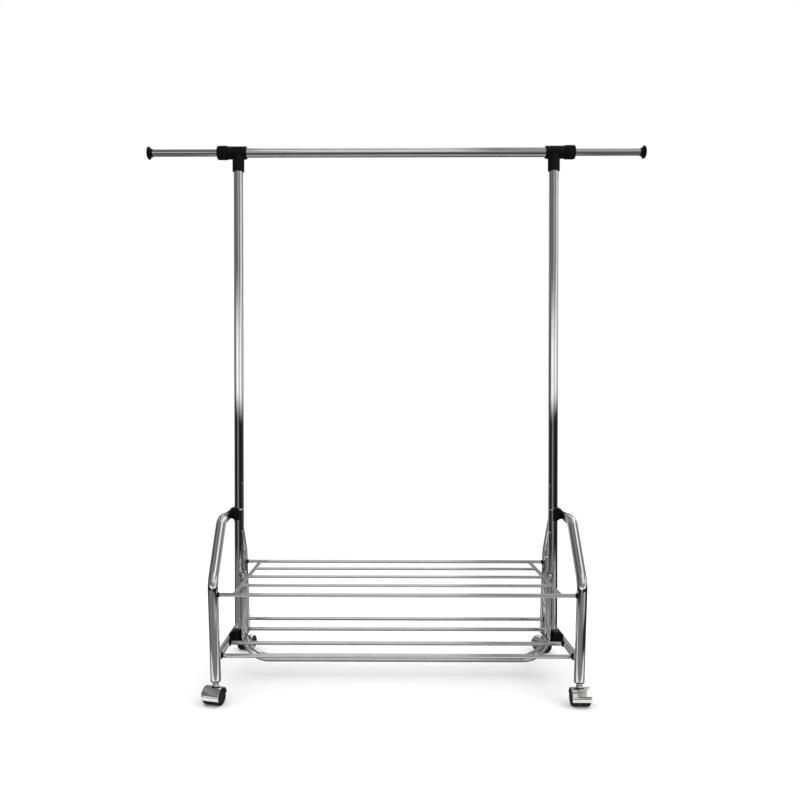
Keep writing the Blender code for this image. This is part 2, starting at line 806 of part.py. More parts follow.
def make_casters():
    """Four casters, each under its leg and turned to its own angle."""
    insert, housing, wheel = insert_mesh(), housing_mesh(), wheel_mesh()
    half = WHEEL_HALF_WIDTH - 2.5 * MM
    pin = [(0, half), (AXLE_RADIUS, half), (AXLE_RADIUS, -half), (0, -half)]
    axle = smooth(turned_mesh(pin))
    for end_name, end in ENDS.items():
        for side_name, side in SIDES.items():
            label = f"{end_name}_{side_name}"
            barrel_z = (LEG_END_Z + INSERT_TOP_Z) / 2
            foot = Vector((side * leg_x(barrel_z), end * LEG_Y, 0))
            swivel = bpy.data.objects.new(f"{label}_caster_axis", None)
            PARTS.objects.link(swivel)
            swivel.location = foot
            swivel.rotation_euler.z = SWIVEL_ANGLES[label]
            add_part(f"{label}_leg_insert", insert, BLACK_PLASTIC, Matrix.Translation(foot))
            add_part(f"{label}_caster_housing", housing, CHROME, parent=swivel)
            add_part(f"{label}_caster_axle", axle, STEEL, AXLE_PLACE, swivel)
            add_part(f"{label}_caster_wheel", wheel, TYRE, AXLE_PLACE, swivel)


# ---------------------------------------------------------------- assembly


def main():
    for side_name in SIDES:
        for end_name in ENDS:
            make_leg(side_name, end_name)
        make_cross_rail(side_name)
        make_upper_connector(side_name)
        make_foot_socket(side_name)
        make_posts(side_name)
        make_tee(side_name)
        make_twist_collar(side_name)
        make_extension(side_name)
    make_hanging_rail()
    make_upper_shelf()
    make_lower_shelf()
    for end_name in ENDS:
        make_brace_bar(end_name)
    make_casters()
    bpy.context.view_layer.update()


main()
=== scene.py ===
"""Looks of the rolling clothes rack: fine tubes, mouldings, casters and their finishes.

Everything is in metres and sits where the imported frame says. X runs along the hanging
rail, -Y is the front and +Z is up.
"""

import json
import math

import bmesh
import bpy
from mathutils import Matrix, Vector

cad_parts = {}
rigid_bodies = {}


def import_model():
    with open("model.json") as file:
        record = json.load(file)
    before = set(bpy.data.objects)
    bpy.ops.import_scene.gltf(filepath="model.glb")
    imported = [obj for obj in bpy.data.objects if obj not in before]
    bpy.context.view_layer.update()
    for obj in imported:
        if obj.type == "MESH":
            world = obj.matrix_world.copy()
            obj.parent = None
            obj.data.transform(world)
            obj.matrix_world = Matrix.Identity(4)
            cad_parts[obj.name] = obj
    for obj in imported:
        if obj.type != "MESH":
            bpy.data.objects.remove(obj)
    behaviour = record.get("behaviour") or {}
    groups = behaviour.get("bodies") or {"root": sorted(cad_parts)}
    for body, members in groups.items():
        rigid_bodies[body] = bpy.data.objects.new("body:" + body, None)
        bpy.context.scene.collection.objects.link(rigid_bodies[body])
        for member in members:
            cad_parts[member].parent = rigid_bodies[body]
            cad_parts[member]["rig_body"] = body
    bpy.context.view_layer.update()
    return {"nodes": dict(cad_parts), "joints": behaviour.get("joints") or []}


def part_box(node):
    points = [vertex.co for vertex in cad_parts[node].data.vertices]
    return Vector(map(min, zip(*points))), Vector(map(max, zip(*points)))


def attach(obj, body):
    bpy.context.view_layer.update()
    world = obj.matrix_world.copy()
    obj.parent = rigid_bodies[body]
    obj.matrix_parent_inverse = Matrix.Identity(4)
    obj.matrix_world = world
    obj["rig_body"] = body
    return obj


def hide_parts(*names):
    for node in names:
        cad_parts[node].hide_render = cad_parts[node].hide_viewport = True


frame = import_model()

MM = 0.001

# Radii of the tubes and bars, the tubes' wall, and the easing of their cut ends.
FRAME_TUBE = 12.5 * MM
CROSS_TUBE = 9.5 * MM
SHELF_TUBE = 5.0 * MM
ROD = 4.0 * MM
SIDE_BAR = 4.75 * MM
BRACE_TUBE = 5.2 * MM
WALL = 1.0 * MM
LIP = 0.35 * MM
ROD_EASE = 0.8 * MM

# Bends of the legs.
KNEE_Z = 291 * MM
SHOULDER_Y = 108 * MM
KNEE_RADIUS = 60 * MM
SHOULDER_RADIUS = 38 * MM

# Cross rails: how far they bite into the legs, and the rippled bead of weld round each end.
CROSS_BITE = 1.5 * MM
WELD_RADIUS = 1.25 * MM
WELD_STEPS = 72
WELD_SIDES = 8
WELD_RIPPLES = 18
WELD_RIPPLE_SHARE = 0.12

# Posts: the reduced top end of the lower one plugs into the upper one. A bright bead fills the
# gap at the seam. Its middle lies under the posts' surface, by the stated share of its radius.
SPIGOT_RADIUS = 11.0 * MM
SPIGOT_TAPER = 6 * MM
SEAM_GAP = 2 * MM
SEAM_BEAD_RADIUS = 1.3 * MM
SEAM_BEAD_SUNK = 0.75

# Shelf grid: places of its rods, their bite into the side bars, and the bead of weld round them.
GRID_ROD_Y = (-107 * MM, 0.0, 107 * MM)
ROD_BITE = 0.6 * MM
GRID_WELD_RADIUS = 0.9 * MM

# Brace bars: their uprights, bends, the gap to the post that a washer fills, and the screws.
BRACE_X = 406.5 * MM
BRACE_Y = 18.5 * MM
BRACE_CORNER_RADIUS = 70 * MM
BRACE_HOOK_RADIUS = 8 * MM
BRACE_GAP = 0.6 * MM
WASHER_RIM = 1.0 * MM
WASHER_LENGTH = 2.3 * MM
SCREW_RADIUS = 3.4 * MM
SCREW_HEIGHT = 1.6 * MM
SCREW_RECESS = 1.0 * MM
SCREW_SINK = 0.6 * MM

# Twist collars: a cup over the tee's neck, a bore for the extension, and grip ribs outside.
# Pressing the ribs moves only the skin within RIB_SKIN of the collar's radius.
COLLAR_RADIUS = 18.8 * MM
COLLAR_CUP_RADIUS = 14.9 * MM
COLLAR_CUP_DEPTH = 19.9 * MM
COLLAR_CHAMFER = 3.2 * MM
COLLAR_SLACK = 0.4 * MM
COLLAR_RIBS = 28
STEPS_PER_RIB = 8
RIB_DEPTH = 0.9 * MM
RIB_SKIN = 2.5 * MM
RIB_RUN_OUT = 3 * MM

# Rims round the tees' mouths.
RIM_RADIUS = 17.4 * MM
RIM_WIDTH = 4.6 * MM
RIM_SLACK = 0.4 * MM

# End caps: a dished disc, a collar over the extension's end and a plug inside it.
CAP_RADIUS = 17.5 * MM
CAP_DISC = 9 * MM
CAP_DISH = 0.6 * MM
CAP_COLLAR = 6 * MM
CAP_PLUG = 20 * MM

# Casters. The hood's mouth is tilted up towards the stem and lies a little below the axle.
AXLE_OFFSET = 8 * MM
AXLE_RADIUS = 2.5 * MM
WHEEL_HALF_WIDTH = 23 * MM
WHEEL_SLOT = 3.2 * MM
HUB_RADIUS = 5.5 * MM
HUB_CAP_DEPTH = 2.9 * MM
HOOD_RADIUS = 23.5 * MM
HOOD_WALL = 1.6 * MM
HOOD_HALF_LENGTH = 22.8 * MM
HOOD_STEPS = 72
MOUTH_TILT = math.radians(11.5)
MOUTH_DROP = 0.6 * MM
WEB_HALF_WIDTH = 2.2 * MM
WEB_BOTTOM_Z = 11 * MM
WEB_STEPS = 64
STEM_RADIUS = 5.5 * MM
STEM_TOP_Z = 81 * MM
BOSS_RADIUS = 7.5 * MM
BOSS_TOP_Z = 48 * MM
BOSS_FLARE = 1.2 * MM
BOSS_SINK = 4.2 * MM

SIDES = {"left": -1, "right": 1}
ENDS = {"front": -1, "back": 1}

# Facets around a frame tube, a thin tube, a turned piece, a small turned piece and a bead.
ROUND = 56
THIN = 28
TURNED = 80
SMALL = 40
BEAD = 12
# Steps along each bend of a tube.
BEND_STEPS = 18

# A turned profile's long runs get a point this far from each end, to keep their shading straight.
# A run is long when it is more than so many times that distance.
SUPPORT = 0.5 * MM
LONG_RUN = 4
# Easing a corner takes at most this share of the runs on either side of it.
EASE_SHARE = 0.45
# Corners closer than this are one, in a mesh made here and in the CAD's faceted ones.
MERGE = 0.0005 * MM
CAD_MERGE = 0.002 * MM
# An edge that bends more than this many degrees stays sharp, where nothing else is said.
SHARP = 32


# ---------------------------------------------------------------- node helpers


class Graph:
    """A material's or the world's node tree, with short ways to add to it."""

    def __init__(self, tree):
        self.tree = tree
        tree.nodes.clear()

    def add(self, kind, **settings):
        """New node of a kind."""
        node = self.tree.nodes.new(kind)
        for key, value in settings.items():
            setattr(node, key, value)
        return node

    def link(self, source, target):
        """Connect an output to an input."""
        self.tree.links.new(source, target)

    def calculate(self, operation, first, second=None):
        """One step of arithmetic on outputs or numbers."""
        node = self.add("ShaderNodeMath", operation=operation)
        for socket, value in zip(node.inputs, (first, second)):
            if isinstance(value, (int, float)):
                socket.default_value = value
            elif value is not None:
                self.link(value, socket)
        return node.outputs[0]

    def noise(self, scale, detail, roughness):
        """Cloudy value over the object, with about as many clouds to the metre as the scale."""
        place = self.add("ShaderNodeTexCoord")
        noise = self.add("ShaderNodeTexNoise")
        noise.inputs["Scale"].default_value = scale
        noise.inputs["Detail"].default_value = detail
        noise.inputs["Roughness"].default_value = roughness
        self.link(place.outputs["Object"], noise.inputs["Vector"])
        return noise.outputs["Fac"]

    def distance(self):
        """Distance from the object's origin."""
        place = self.add("ShaderNodeTexCoord")
        length = self.add("ShaderNodeVectorMath", operation="LENGTH")
        self.link(place.outputs["Object"], length.inputs[0])
        return length.outputs["Value"]

    def remap(self, value, low, high, to_low=0, to_high=1):
        """Value moved from one range to another, and held at the ends."""
        node = self.add("ShaderNodeMapRange")
        ranges = {"From Min": low, "From Max": high, "To Min": to_low, "To Max": to_high}
        for key, number in ranges.items():
            node.inputs[key].default_value = number
        self.link(value, node.inputs["Value"])
        return node.outputs["Result"]

    def fade(self, value, start, stop):
        """Soft step from 0 where the value is start to 1 where it is stop."""
        result = self.remap(value, start, stop)
        result.node.interpolation_type = "SMOOTHSTEP"
        return result

    def ramp(self, value, stops):
        """Colour or brightness by value, through stops of (value, colour or brightness)."""
        node = self.add("ShaderNodeValToRGB")
        elements = node.color_ramp.elements
        while len(elements) < len(stops):
            elements.new(0.5)
        for element, (position, colour) in zip(elements, stops):
            element.position = position
            if isinstance(colour, (int, float)):
                colour = (colour, colour, colour)
            element.color = (*colour, 1)
        self.link(value, node.inputs["Fac"])
        return node.outputs["Color"]

    def mix(self, factor, first, second):
        """Blend of two colours."""
        node = self.add("ShaderNodeMix", data_type="RGBA")
        self.link(factor, node.inputs["Factor"])
        self.link(first, node.inputs["A"])
        self.link(second, node.inputs["B"])
        return node.outputs["Result"]

    def show_mix(self, factor, first, second, output_kind):
        """Send a blend of two shader nodes to a new output node."""
        mix = self.add("ShaderNodeMixShader")
        self.link(factor, mix.inputs["Fac"])
        self.link(first.outputs[0], mix.inputs[1])
        self.link(second.outputs[0], mix.inputs[2])
        output = self.add(output_kind)
        self.link(mix.outputs[0], output.inputs["Surface"])


def new_material(name):
    """New material and its empty graph."""
    material = bpy.data.materials.new(name)
    material.use_nodes = True
    return material, Graph(material.node_tree)


def surface(name, metallic, ior, level):
    """New Principled material: the material, its graph and its shader."""
    material, graph = new_material(name)
    shader = graph.add("ShaderNodeBsdfPrincipled")
    output = graph.add("ShaderNodeOutputMaterial")
    graph.link(shader.outputs["BSDF"], output.inputs["Surface"])
    shader.inputs["Metallic"].default_value = metallic
    shader.inputs["IOR"].default_value = ior
    shader.inputs["Specular IOR Level"].default_value = level
    return material, graph, shader


def bump(graph, shader, height, depth):
    """Give the shader fine relief from a height value."""
    node = graph.add("ShaderNodeBump")
    node.inputs["Strength"].default_value = 1.0
    node.inputs["Distance"].default_value = depth
    graph.link(height, node.inputs["Height"])
    graph.link(node.outputs["Normal"], shader.inputs["Normal"])


def metal(name, light, dark, shine, haze, waviness):
    """Plated metal: a clean mirror with faint clouding, hazy specks and waviness."""
    material, graph, shader = surface(name, metallic=1.0, ior=1.5, level=0.5)
    cloud = graph.noise(scale=38, detail=4, roughness=0.6)
    graph.link(graph.ramp(cloud, [(0.3, dark), (0.62, light)]), shader.inputs["Base Color"])
    speck = graph.remap(graph.noise(scale=420, detail=3, roughness=0.7), 0.5, 0.75)
    worn = graph.calculate("MULTIPLY", speck, cloud)
    graph.link(graph.remap(worn, 0, 0.5, shine, haze), shader.inputs["Roughness"])
    bump(graph, shader, graph.noise(scale=14, detail=1, roughness=0.4), waviness)
    return material


def plastic(name, deep, pale, gloss, dull, grain, scale):
    """Moulded plastic: a slightly uneven black with a fine spark-eroded grain."""
    material, graph, shader = surface(name, metallic=0.0, ior=1.45, level=0.17)
    cloud = graph.noise(scale=60, detail=3, roughness=0.6)
    graph.link(graph.ramp(cloud, [(0.35, deep), (0.7, pale)]), shader.inputs["Base Color"])
    graph.link(graph.remap(cloud, 0.3, 0.7, gloss, dull), shader.inputs["Roughness"])
    bump(graph, shader, graph.noise(scale=scale, detail=2, roughness=0.6), grain)
    return material


CHROME = metal(
    "chrome",
    light=(0.80, 0.81, 0.82),
    dark=(0.74, 0.75, 0.765),
    shine=0.015,
    haze=0.07,
    waviness=0.04 * MM,
)
SHELF_CHROME = metal(
    "shelf_chrome",
    light=(0.84, 0.84, 0.85),
    dark=(0.77, 0.77, 0.78),
    shine=0.05,
    haze=0.13,
    waviness=0.04 * MM,
)
HOOD_CHROME = metal(
    "hood_chrome",
    light=(0.83, 0.83, 0.80),
    dark=(0.76, 0.76, 0.72),
    shine=0.03,
    haze=0.12,
    waviness=0.04 * MM,
)
POLISHED_LIP = metal(
    "polished_lip",
    light=(0.92, 0.92, 0.93),
    dark=(0.86, 0.86, 0.87),
    shine=0.36,
    haze=0.5,
    waviness=0.02 * MM,
)
STEEL = metal(
    "bright_steel",
    light=(0.6, 0.6, 0.61),
    dark=(0.5, 0.5, 0.51),
    shine=0.22,
    haze=0.4,
    waviness=0.04 * MM,
)
BLACK = plastic(
    "black_plastic",
    deep=(0.002, 0.002, 0.0022),
    pale=(0.005, 0.005, 0.0054),
    gloss=0.32,
    dull=0.46,
    grain=0.02 * MM,
    scale=1500,
)
TYRE = plastic(
    "tyre",
    deep=(0.006, 0.006, 0.006),
    pale=(0.013, 0.013, 0.013),
    gloss=0.42,
    dull=0.6,
    grain=0.04 * MM,
    scale=900,
)
HUB_PLASTIC = plastic(
    "hub_plastic",
    deep=(0.012, 0.012, 0.013),
    pale=(0.022, 0.022, 0.023),
    gloss=0.3,
    dull=0.45,
    grain=0.03 * MM,
    scale=1500,
)


# ---------------------------------------------------------------- mesh helpers


def along(direction):
    """Rotation that turns +Z to the direction."""
    return Vector((0, 0, 1)).rotation_difference(Vector(direction)).to_matrix().to_4x4()


def new_object(name, data):
    """New object in the scene."""
    made = bpy.data.objects.new(name, data)
    bpy.context.scene.collection.objects.link(made)
    return made


def to_mesh(name, work):
    """Turn a bmesh into a mesh, and free it."""
    mesh = bpy.data.meshes.new(name)
    work.to_mesh(mesh)
    work.free()
    return mesh


def shade(mesh, sharp):
    """Shade a mesh smooth, and keep edges that bend more than so many degrees sharp."""
    mesh.shade_smooth()
    mesh.set_sharp_from_angle(angle=math.radians(sharp))
    return mesh


def finished(name, work, sharp=SHARP):
    """Mesh of a closed bmesh: merged, with its faces pointing out, and shaded."""
    bmesh.ops.remove_doubles(work, verts=work.verts, dist=MERGE)
    bmesh.ops.recalc_face_normals(work, faces=work.faces)
    return shade(to_mesh(name, work), sharp)


def add_piece(name, mesh, material, body, stands_for=(), place=None):
    """Put a finished mesh in the scene, on the body that carries it."""
    piece = new_object(name, mesh)
    mesh.materials.clear()
    mesh.materials.append(material)
    mesh.transform(place or Matrix())
    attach(piece, body)
    if stands_for:
        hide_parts(*stands_for)


def rounded_path(corners, radii):
    """Points of a path whose inner corners are replaced by arcs."""
    corners = [Vector(corner) for corner in corners]
    points = [corners[0]]
    for before, corner, after, radius in zip(corners, corners[1:], corners[2:], radii):
        back = (before - corner).normalized()
        ahead = (after - corner).normalized()
        half = back.angle(ahead) / 2
        centre = corner + (back + ahead).normalized() * radius / math.sin(half)
        spoke = corner + back * radius / math.tan(half) - centre
        axis = ahead.cross(back).normalized()
        for step in range(BEND_STEPS + 1):
            turn = Matrix.Rotation((math.pi - 2 * half) * step / BEND_STEPS, 3, axis)
            points.append(centre + turn @ spoke)
    points.append(corners[-1])
    return points


def stations(points):
    """Place, direction and two cross directions at each point of a path, without any twist."""
    ahead = (points[1] - points[0]).normalized()
    side = ahead.orthogonal().normalized()
    found = []
    for index, point in enumerate(points):
        before = points[max(index - 1, 0)]
        after = points[min(index + 1, len(points) - 1)]
        new_ahead = (after - before).normalized()
        side = ahead.rotation_difference(new_ahead) @ side
        ahead = new_ahead
        found.append((point, ahead, side.copy(), ahead.cross(side)))
    return found


def skin(work, loops):
    """Faces from each ring of corners to the next, and from the last one to the first."""
    for low, high in zip(loops, loops[1:] + loops[:1]):
        for index in range(len(low)):
            after = (index + 1) % len(low)
            work.faces.new((low[index], low[after], high[after], high[index]))


def tube_mesh(points, radius, sides):
    """Open tube along a path: outer skin, eased ends and the bore, as one closed body."""
    places = stations([Vector(point) for point in points])
    rings = [(places[0], 0, radius - LIP), (places[0], LIP, radius)]
    rings += [(place, 0, radius) for place in places[1:-1]]
    rings += [(places[-1], -LIP, radius), (places[-1], 0, radius - LIP)]
    rings += [(place, 0, radius - WALL) for place in reversed(places)]
    work = bmesh.new()
    loops = []
    for (point, ahead, side, up), shift, ring_radius in rings:
        centre = point + ahead * shift
        loop = []
        for index in range(sides):
            angle = 2 * math.pi * index / sides
            spoke = side * math.cos(angle) + up * math.sin(angle)
            loop.append(work.verts.new(centre + spoke * ring_radius))
        loops.append(loop)
    skin(work, loops)
    return finished("tube", work)


def tube(name, points, radius, material, body, stands_for, sides=ROUND):
    """Add an open tube along a path."""
    add_piece(name, tube_mesh(points, radius, sides), material, body, stands_for)


def supported(profile):
    """Profile with a point near each end of its long runs."""
    points = [profile[0]]
    for before, after in zip(profile, profile[1:]):
        start, end = Vector(before), Vector(after)
        length = (end - start).length
        if length > SUPPORT * LONG_RUN:
            points.append(tuple(start.lerp(end, SUPPORT / length)))
            points.append(tuple(end.lerp(start, SUPPORT / length)))
        points.append(after)
    return points


def turned_mesh(profile, sides=TURNED, sharp=SHARP):
    """Mesh of a profile of (radius, height) points turned around Z.

    A profile that starts and ends on the axis, or that is a closed loop, gives a solid.
    """
    work = bmesh.new()
    verts = [work.verts.new((radius, 0, height)) for radius, height in supported(profile)]
    edges = [work.edges.new(pair) for pair in zip(verts, verts[1:])]
    if profile[0][0] > 0:
        edges.append(work.edges.new((verts[-1], verts[0])))
    bmesh.ops.spin(
        work,
        geom=verts + edges,
        axis=(0, 0, 1),
        cent=(0, 0, 0),
        angle=2 * math.pi,
        steps=sides,
        use_merge=True,
    )
    return finished("turned", work, sharp)


def eased(profile, radius, steps=3):
    """Round the corners of a profile of (radius, height) points."""
    rounded = [profile[0]]
    for before, corner, after in zip(profile, profile[1:], profile[2:]):
        before, corner, after = Vector(before), Vector(corner), Vector(after)
        back = before - corner
        ahead = after - corner
        reach = min(radius, back.length * EASE_SHARE, ahead.length * EASE_SHARE)
        start = corner + back.normalized() * reach
        end = corner + ahead.normalized() * reach
        for step in range(steps + 1):
            share = step / steps
            bend = start.lerp(corner, share).lerp(corner.lerp(end, share), share)
            rounded.append(tuple(bend))
    rounded.append(profile[-1])
    return rounded


def modified(mesh, *modifiers):
    """Copy of a mesh with modifiers applied, each given as its kind and settings."""
    shape = new_object("shape", mesh)
    for kind, settings in modifiers:
        modifier = shape.modifiers.new(kind.lower(), kind)
        for key, value in settings.items():
            setattr(modifier, key, value)
    bpy.context.view_layer.update()
    depsgraph = bpy.context.evaluated_depsgraph_get()
    result = bpy.data.meshes.new_from_object(shape.evaluated_get(depsgraph))
    bpy.data.objects.remove(shape)
    return result


def moulded(node, voxel, passes):
    """Black moulding in the place of a CAD node: the same form with softly run edges."""
    source = frame["nodes"][node]
    mesh = modified(
        source.data.copy(),
        ("WELD", {"merge_threshold": CAD_MERGE}),
        ("REMESH", {"mode": "VOXEL", "voxel_size": voxel}),
        ("SMOOTH", {"factor": 0.5, "iterations": passes}),
    )
    mesh.shade_smooth()
    add_piece(f"{node}.moulding", mesh, BLACK, source["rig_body"], [node])


def ring_mesh(radius, bead_radius):
    """Round bead that lies around Z at the origin."""
    profile = []
    for step in range(BEAD):
        angle = 2 * math.pi * step / BEAD
        profile.append((radius + bead_radius * math.cos(angle), bead_radius * math.sin(angle)))
    return turned_mesh(profile, ROUND, sharp=80)


# ---------------------------------------------------------------- frame of the rack


def middle(node):
    """Middle of a CAD node's box."""
    low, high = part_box(node)
    return (low + high) / 2


def reach_x(node):
    """Least and greatest distance of a CAD node's ends from the rack's middle plane."""
    low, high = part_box(node)
    return sorted((abs(low.x), abs(high.x)))


def facing_out(side_name, distance, height):
    """Place in the plane of the posts, with +Z pointing out of that side of the rack."""
    side = SIDES[side_name]
    return Matrix.Translation((side * distance, 0, height)) @ along((side, 0, 0))


def straight(node, name, radius, material, sides=ROUND):
    """Replace a straight tube along X by a fine one."""
    low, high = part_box(node)
    centre = middle(node)
    points = [(low.x, centre.y, centre.z), (high.x, centre.y, centre.z)]
    tube(name, points, radius, material, frame["nodes"][node]["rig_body"], [node], sides)


def leg_points(label, side, end):
    """Path of a leg's axis, from the caster end up to the connector."""
    low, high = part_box(f"{label}_leg")
    inner_x, outer_x = reach_x(f"{label}_leg")
    frame_x = side * (outer_x - FRAME_TUBE)
    foot_x = side * (inner_x + FRAME_TUBE)
    inner_y, outer_y = sorted((abs(low.y), abs(high.y)))
    leg_y = end * (outer_y - FRAME_TUBE)
    shoulder_z = high.z - FRAME_TUBE
    corners = [
        (foot_x, leg_y, low.z),
        (frame_x, leg_y, KNEE_Z),
        (frame_x, end * SHOULDER_Y, shoulder_z),
        (frame_x, end * inner_y, shoulder_z),
    ]
    return rounded_path(corners, (KNEE_RADIUS, SHOULDER_RADIUS))


def weld_bead_mesh(branch, trunk):
    """Bead of weld around a branch tube along Z, where it meets a trunk along Y at the origin."""
    work = bmesh.new()
    loops = []
    for index in range(WELD_STEPS):
        angle = 2 * math.pi * index / WELD_STEPS
        outward = Vector((math.cos(angle), math.sin(angle), 0))
        height = math.sqrt(trunk**2 - (branch * math.cos(angle)) ** 2)
        centre = outward * branch + Vector((0, 0, height))
        radius = WELD_RADIUS * (1 + WELD_RIPPLE_SHARE * math.sin(WELD_RIPPLES * angle))
        loop = []
        for step in range(WELD_SIDES):
            turn = 2 * math.pi * step / WELD_SIDES
            offset = outward * math.cos(turn) + Vector((0, 0, math.sin(turn)))
            loop.append(work.verts.new(centre + offset * radius))
        loops.append(loop)
    skin(work, loops)
    return finished("bead", work, sharp=80)


def make_side_frame(side_name):
    """Two bent legs, the rail that joins them, and the beads of weld at its ends."""
    node = f"{side_name}_cross_rail"
    height = middle(node).z
    ends = []
    for end_name, end in ENDS.items():
        label = f"{end_name}_{side_name}"
        points = leg_points(label, SIDES[side_name], end)
        tube(f"{label}_leg_tube", points, FRAME_TUBE, CHROME, "frame", [f"{label}_leg"])
        # The rail meets the leg on its straight run below the knee.
        low, high = points[:2]
        ends.append(low.lerp(high, (height - low.z) / (high.z - low.z)))
    run = (ends[1] - ends[0]).normalized()
    inset = run * (FRAME_TUBE - CROSS_BITE)
    line = [ends[0] + inset, ends[1] - inset]
    tube(f"{side_name}_cross_tube", line, CROSS_TUBE, CHROME, "frame", [node])
    for end_name, centre, direction in zip(ENDS, ends, (run, -run)):
        bead = weld_bead_mesh(CROSS_TUBE, FRAME_TUBE)
        place = Matrix.Translation(centre) @ along(direction)
        add_piece(f"{end_name}_{side_name}_weld", bead, STEEL, "frame", place=place)


def post_point(side_name, height):
    """Point at a height on the axis that the two posts of a side share."""
    foot_x = reach_x(f"{side_name}_lower_post")[0] + FRAME_TUBE
    top_x = reach_x(f"{side_name}_upper_post")[1] - FRAME_TUBE
    foot_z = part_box(f"{side_name}_lower_post")[0].z
    top_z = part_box(f"{side_name}_upper_post")[1].z
    share = (height - foot_z) / (top_z - foot_z)
    return Vector((SIDES[side_name] * (foot_x + (top_x - foot_x) * share), 0, height))


def make_post(side_name):
    """Lower and upper post, with the bright rolled bead where they meet."""
    lower_node, upper_node = f"{side_name}_lower_post", f"{side_name}_upper_post"
    lower_low, lower_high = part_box(lower_node)
    upper_low, upper_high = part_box(upper_node)
    foot = post_point(side_name, lower_low.z)
    top = post_point(side_name, upper_high.z)
    lean = along(top - foot)
    shoulder_z = upper_low.z - SEAM_GAP
    shoulder = (post_point(side_name, shoulder_z) - foot).length
    spigot_top = shoulder + lower_high.z - shoulder_z
    bore = FRAME_TUBE - WALL
    profile = [
        (FRAME_TUBE - LIP, 0),
        (FRAME_TUBE, LIP),
        (FRAME_TUBE, shoulder - 0.8 * MM),
        (FRAME_TUBE - 0.3 * MM, shoulder - 0.2 * MM),
        (SPIGOT_RADIUS, shoulder),
        (SPIGOT_RADIUS, spigot_top),
        (SPIGOT_RADIUS - WALL, spigot_top),
        (SPIGOT_RADIUS - WALL, shoulder),
        (bore, shoulder - SPIGOT_TAPER),
        (bore, 0),
    ]
    lower = turned_mesh(profile, ROUND)
    place = Matrix.Translation(foot) @ lean
    add_piece(f"{side_name}_lower_post_tube", lower, CHROME, "frame", [lower_node], place)
    line = [post_point(side_name, upper_low.z), top]
    tube(f"{side_name}_upper_post_tube", line, FRAME_TUBE, CHROME, "frame", [upper_node])
    bead = ring_mesh(FRAME_TUBE - SEAM_BEAD_RADIUS * SEAM_BEAD_SUNK, SEAM_BEAD_RADIUS)
    place = Matrix.Translation(post_point(side_name, shoulder_z + SEAM_GAP / 2)) @ lean
    add_piece(f"{side_name}_seam_bead", bead, POLISHED_LIP, "frame", place=place)


# ---------------------------------------------------------------- hanging rail


def cut_ribs(mesh, length):
    """Press grip ribs into the collar's outer skin, running out towards both its ends."""
    for vert in mesh.vertices:
        radius = math.hypot(vert.co.x, vert.co.y)
        if radius < COLLAR_RADIUS - RIB_SKIN:
            continue
        wave = 0.5 - 0.5 * math.cos(COLLAR_RIBS * math.atan2(vert.co.y, vert.co.x))
        near_ends = min(vert.co.z, length - vert.co.z) / RIB_RUN_OUT
        depth = RIB_DEPTH * wave**2 * max(0.0, min(1.0, near_ends))
        vert.co.x *= 1 - depth / radius
        vert.co.y *= 1 - depth / radius
    mesh.update()


def make_collar(side_name):
    """Twist collar with grip ribs on its rim."""
    node = f"{side_name}_twist_collar"
    inner_x, outer_x = reach_x(node)
    length = outer_x - inner_x
    bore = CROSS_TUBE + COLLAR_SLACK
    outline = [
        (COLLAR_RADIUS - 1.2 * MM, 0),
        (COLLAR_RADIUS, MM),
        (COLLAR_RADIUS, length * 0.3),
        (COLLAR_RADIUS, length * 0.5),
        (COLLAR_RADIUS, length * 0.7),
        (COLLAR_RADIUS, length - COLLAR_CHAMFER),
        (COLLAR_RADIUS - COLLAR_CHAMFER, length),
        (bore + MM, length),
    ]
    inside = [
        (bore, length - MM),
        (bore, COLLAR_CUP_DEPTH),
        (COLLAR_CUP_RADIUS, COLLAR_CUP_DEPTH),
        (COLLAR_CUP_RADIUS, 0),
    ]
    profile = eased(outline, 1.2 * MM) + inside
    mesh = turned_mesh(profile, COLLAR_RIBS * STEPS_PER_RIB, sharp=50)
    cut_ribs(mesh, length)
    place = facing_out(side_name, inner_x, middle(node).z)
    add_piece(f"{side_name}_grip_collar", mesh, BLACK, f"{side_name}_collar", [node], place)


def make_end_cap(side_name):
    """Dished disc with a rolled rim on the end of an extension."""
    node = f"{side_name}_end_cap"
    bore = CROSS_TUBE - WALL
    profile = [
        (0, CAP_DISC - CAP_DISH),
        (CAP_RADIUS - 8 * MM, CAP_DISC - CAP_DISH),
        (CAP_RADIUS - 6 * MM, CAP_DISC),
        (CAP_RADIUS - 2 * MM, CAP_DISC - 1.2 * MM),
        (CAP_RADIUS, CAP_DISC - 4 * MM),
        (CAP_RADIUS - 0.3 * MM, CAP_DISC - 6.5 * MM),
        (CAP_RADIUS - 3 * MM, 0.5 * MM),
        (CROSS_TUBE + 2.5 * MM, 0),
        (CROSS_TUBE + 1.2 * MM, -CAP_COLLAR),
        (CROSS_TUBE + 0.2 * MM, -CAP_COLLAR),
        (CROSS_TUBE + 0.2 * MM, 0.2 * MM),
        (bore - 0.4 * MM, 0.2 * MM),
        (bore - 0.4 * MM, -CAP_PLUG),
        (0, -CAP_PLUG),
    ]
    mesh = turned_mesh(eased(profile, 1.4 * MM, steps=4), sharp=40)
    place = facing_out(side_name, reach_x(node)[1] - CAP_DISC, middle(node).z)
    add_piece(f"{side_name}_cap", mesh, BLACK, f"{side_name}_extension", [node], place)


